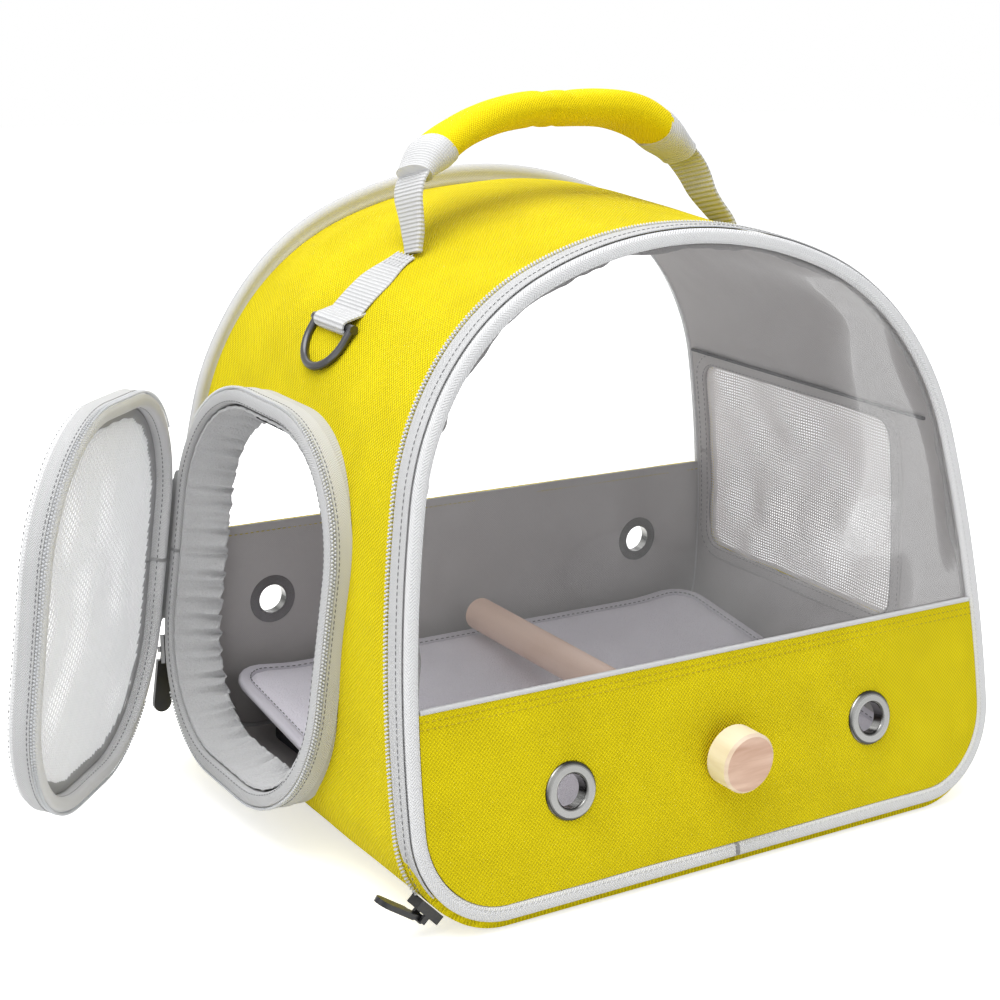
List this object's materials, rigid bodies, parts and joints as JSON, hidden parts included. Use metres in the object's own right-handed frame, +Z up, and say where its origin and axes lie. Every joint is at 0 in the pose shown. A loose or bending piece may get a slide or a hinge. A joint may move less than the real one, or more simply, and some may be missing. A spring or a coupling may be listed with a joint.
{
  "type": "bird travel carrier",
  "caption": "Soft arched bird carrier with a clear fold-down front, round unzipping side door, mesh side window, wooden perch and padded webbing handle.",
  "frame": {"origin": "centre of the base's underside, where the carrier stands", "axes": "+Z up; the clear front panel with the knob faces -Y; the round door is on the -X side; lengths in metres"},
  "size_m": [0.4214, 0.2278, 0.3073],
  "materials": {
    "shell_fabric": "woven oxford nylon, padded, yellow",
    "lining_fabric": "smooth grey nylon lining",
    "binding_fabric": "light grey woven binding tape",
    "hem_fabric": "mid grey bound hem",
    "zip_tape": "herringbone zip tape",
    "zip_teeth": "nylon coil",
    "clear_pvc": "clear flexible sheet",
    "eyelet_metal": "nickel plated",
    "ring_metal": "gunmetal plated wire",
    "screw_metal": "zinc plated",
    "perch_wood": "plain turned dowel",
    "knob_wood": "plain turned wood",
    "board": "rigid sheet",
    "pad_fabric": "brushed, padded, lilac grey",
    "pad_tape": "pad edge tape",
    "net_white": "white mesh",
    "black_metal": "black lacquer",
    "webbing": "light grey ribbed webbing",
    "grip_fabric": "padded yellow sleeve"
  },
  "bodies": {
    "root": {"gusset_shell": "shell_fabric", "side_lining": "lining_fabric", "floor_board": "board", "floor_pad": "pad_fabric", "pad_binding": "pad_tape", "front_zip_teeth": "zip_teeth", "front_zip_slider": "black_metal", "back_binding": "binding_fabric", "back_band": "shell_fabric", "back_band_lining": "lining_fabric", "back_window": "clear_pvc", "back_eyelets": "eyelet_metal", "back_washers": "eyelet_metal", "side_window_net": "net_white", "side_window_hem": "hem_fabric", "door_collar": "binding_fabric", "collar_zip_teeth": "zip_teeth", "collar_zip_tape": "zip_tape", "door_tunnel": "hem_fabric", "collar_hinge_leaf": "hem_fabric", "door_zip_slider": "black_metal", "shell_straps": "webbing", "strap_patches": "webbing"},
    "front_panel": {"front_binding": "binding_fabric", "front_band": "shell_fabric", "front_band_lining": "lining_fabric", "front_window": "clear_pvc", "front_band_edge": "shell_fabric", "front_eyelets": "eyelet_metal", "front_washers": "eyelet_metal", "front_zip_tape": "zip_tape", "perch": "perch_wood", "perch_screw": "screw_metal"},
    "knob": {"perch_knob": "knob_wood"},
    "front_pull": {"front_zip_pull": "black_metal"},
    "door": {"door_frame": "binding_fabric", "door_zip_teeth": "zip_teeth", "door_zip_tape": "zip_tape", "door_net_hem": "hem_fabric", "door_net": "net_white", "door_hinge_leaf": "hem_fabric"},
    "door_pull": {"door_zip_pull": "black_metal"},
    "handle": {"handle_webbing": "webbing", "handle_grip": "grip_fabric", "grip_ends": "binding_fabric"},
    "left_ring": {"ring_left": "ring_metal"},
    "right_ring": {"ring_right": "ring_metal"}
  },
  "joints": [
    {"name": "front_panel_fold", "type": "hinge", "parent": "root", "child": "front_panel", "pos_m": [0, -0.10627, 0.00429], "axis": [1, 0, 0], "range_deg": [0, 58]},
    {"name": "knob_turn", "type": "hinge", "parent": "front_panel", "child": "knob", "pos_m": [0, -0.10943, 0.048], "axis": [0, 1, 0], "continuous": true},
    {"name": "door_hinge", "type": "hinge", "parent": "root", "child": "door", "pos_m": [-0.1584, 0.105, 0.10004], "axis": [0.1045, 0, 0.9945], "range_deg": [-63, 42]},
    {"name": "door_pull_swing", "type": "hinge", "parent": "root", "child": "door_pull", "pos_m": [-0.15895, 0.1077, 0.05174], "axis": [0.9945, 0, -0.1045], "range_deg": [-15, 100]},
    {"name": "front_pull_swing", "type": "hinge", "parent": "root", "child": "front_pull", "pos_m": [-0.14415, -0.09566, 0.00741], "axis": [0, -1, 0], "range_deg": [-12, 38]},
    {"name": "handle_lean", "type": "hinge", "parent": "root", "child": "handle", "pos_m": [0, 0.024, 0.25372], "axis": [1, 0, 0], "range_deg": [-40, 67]},
    {"name": "left_ring_swing", "type": "hinge", "parent": "root", "child": "left_ring", "pos_m": [-0.119, 0.024, 0.21436], "axis": [0, 1, 0], "range_deg": [0, 160]},
    {"name": "right_ring_swing", "type": "hinge", "parent": "root", "child": "right_ring", "pos_m": [0.119, 0.024, 0.21436], "axis": [0, -1, 0], "range_deg": [0, 160]}
  ]
}
